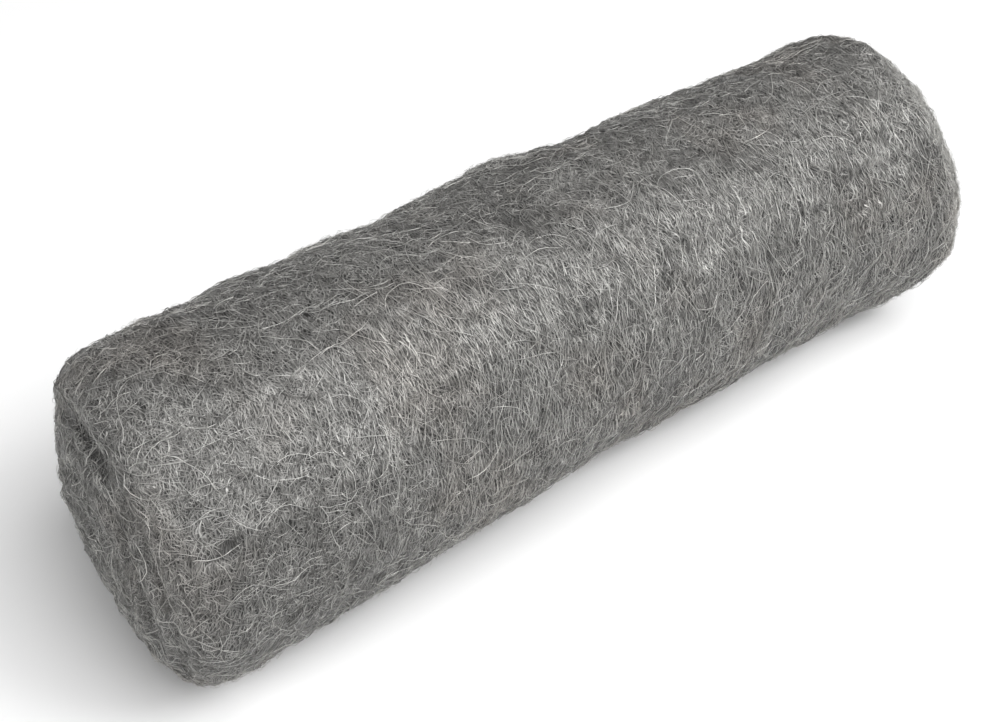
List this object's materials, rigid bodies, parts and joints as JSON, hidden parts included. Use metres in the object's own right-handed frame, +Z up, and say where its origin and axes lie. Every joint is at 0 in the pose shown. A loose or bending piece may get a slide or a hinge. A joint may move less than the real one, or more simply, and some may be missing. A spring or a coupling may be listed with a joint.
{
  "type": "steel wool roll",
  "caption": "Roll of steel wool: a long pad of fine steel fibres wound up on itself, for scouring, smoothing and polishing.",
  "frame": {"origin": "middle of the roll's footprint, on the plane it lies on", "axes": "+X along the roll towards its slimmer end, +Z up, -Y towards the front"},
  "size_m": [0.214, 0.0734, 0.0707],
  "materials": {
    "steel_wool": "matted fine steel fibres, mid grey, with brighter strands over dark gaps"
  },
  "bodies": {
    "root": {"steel_wool_roll": "steel_wool"}
  },
  "joints": []
}
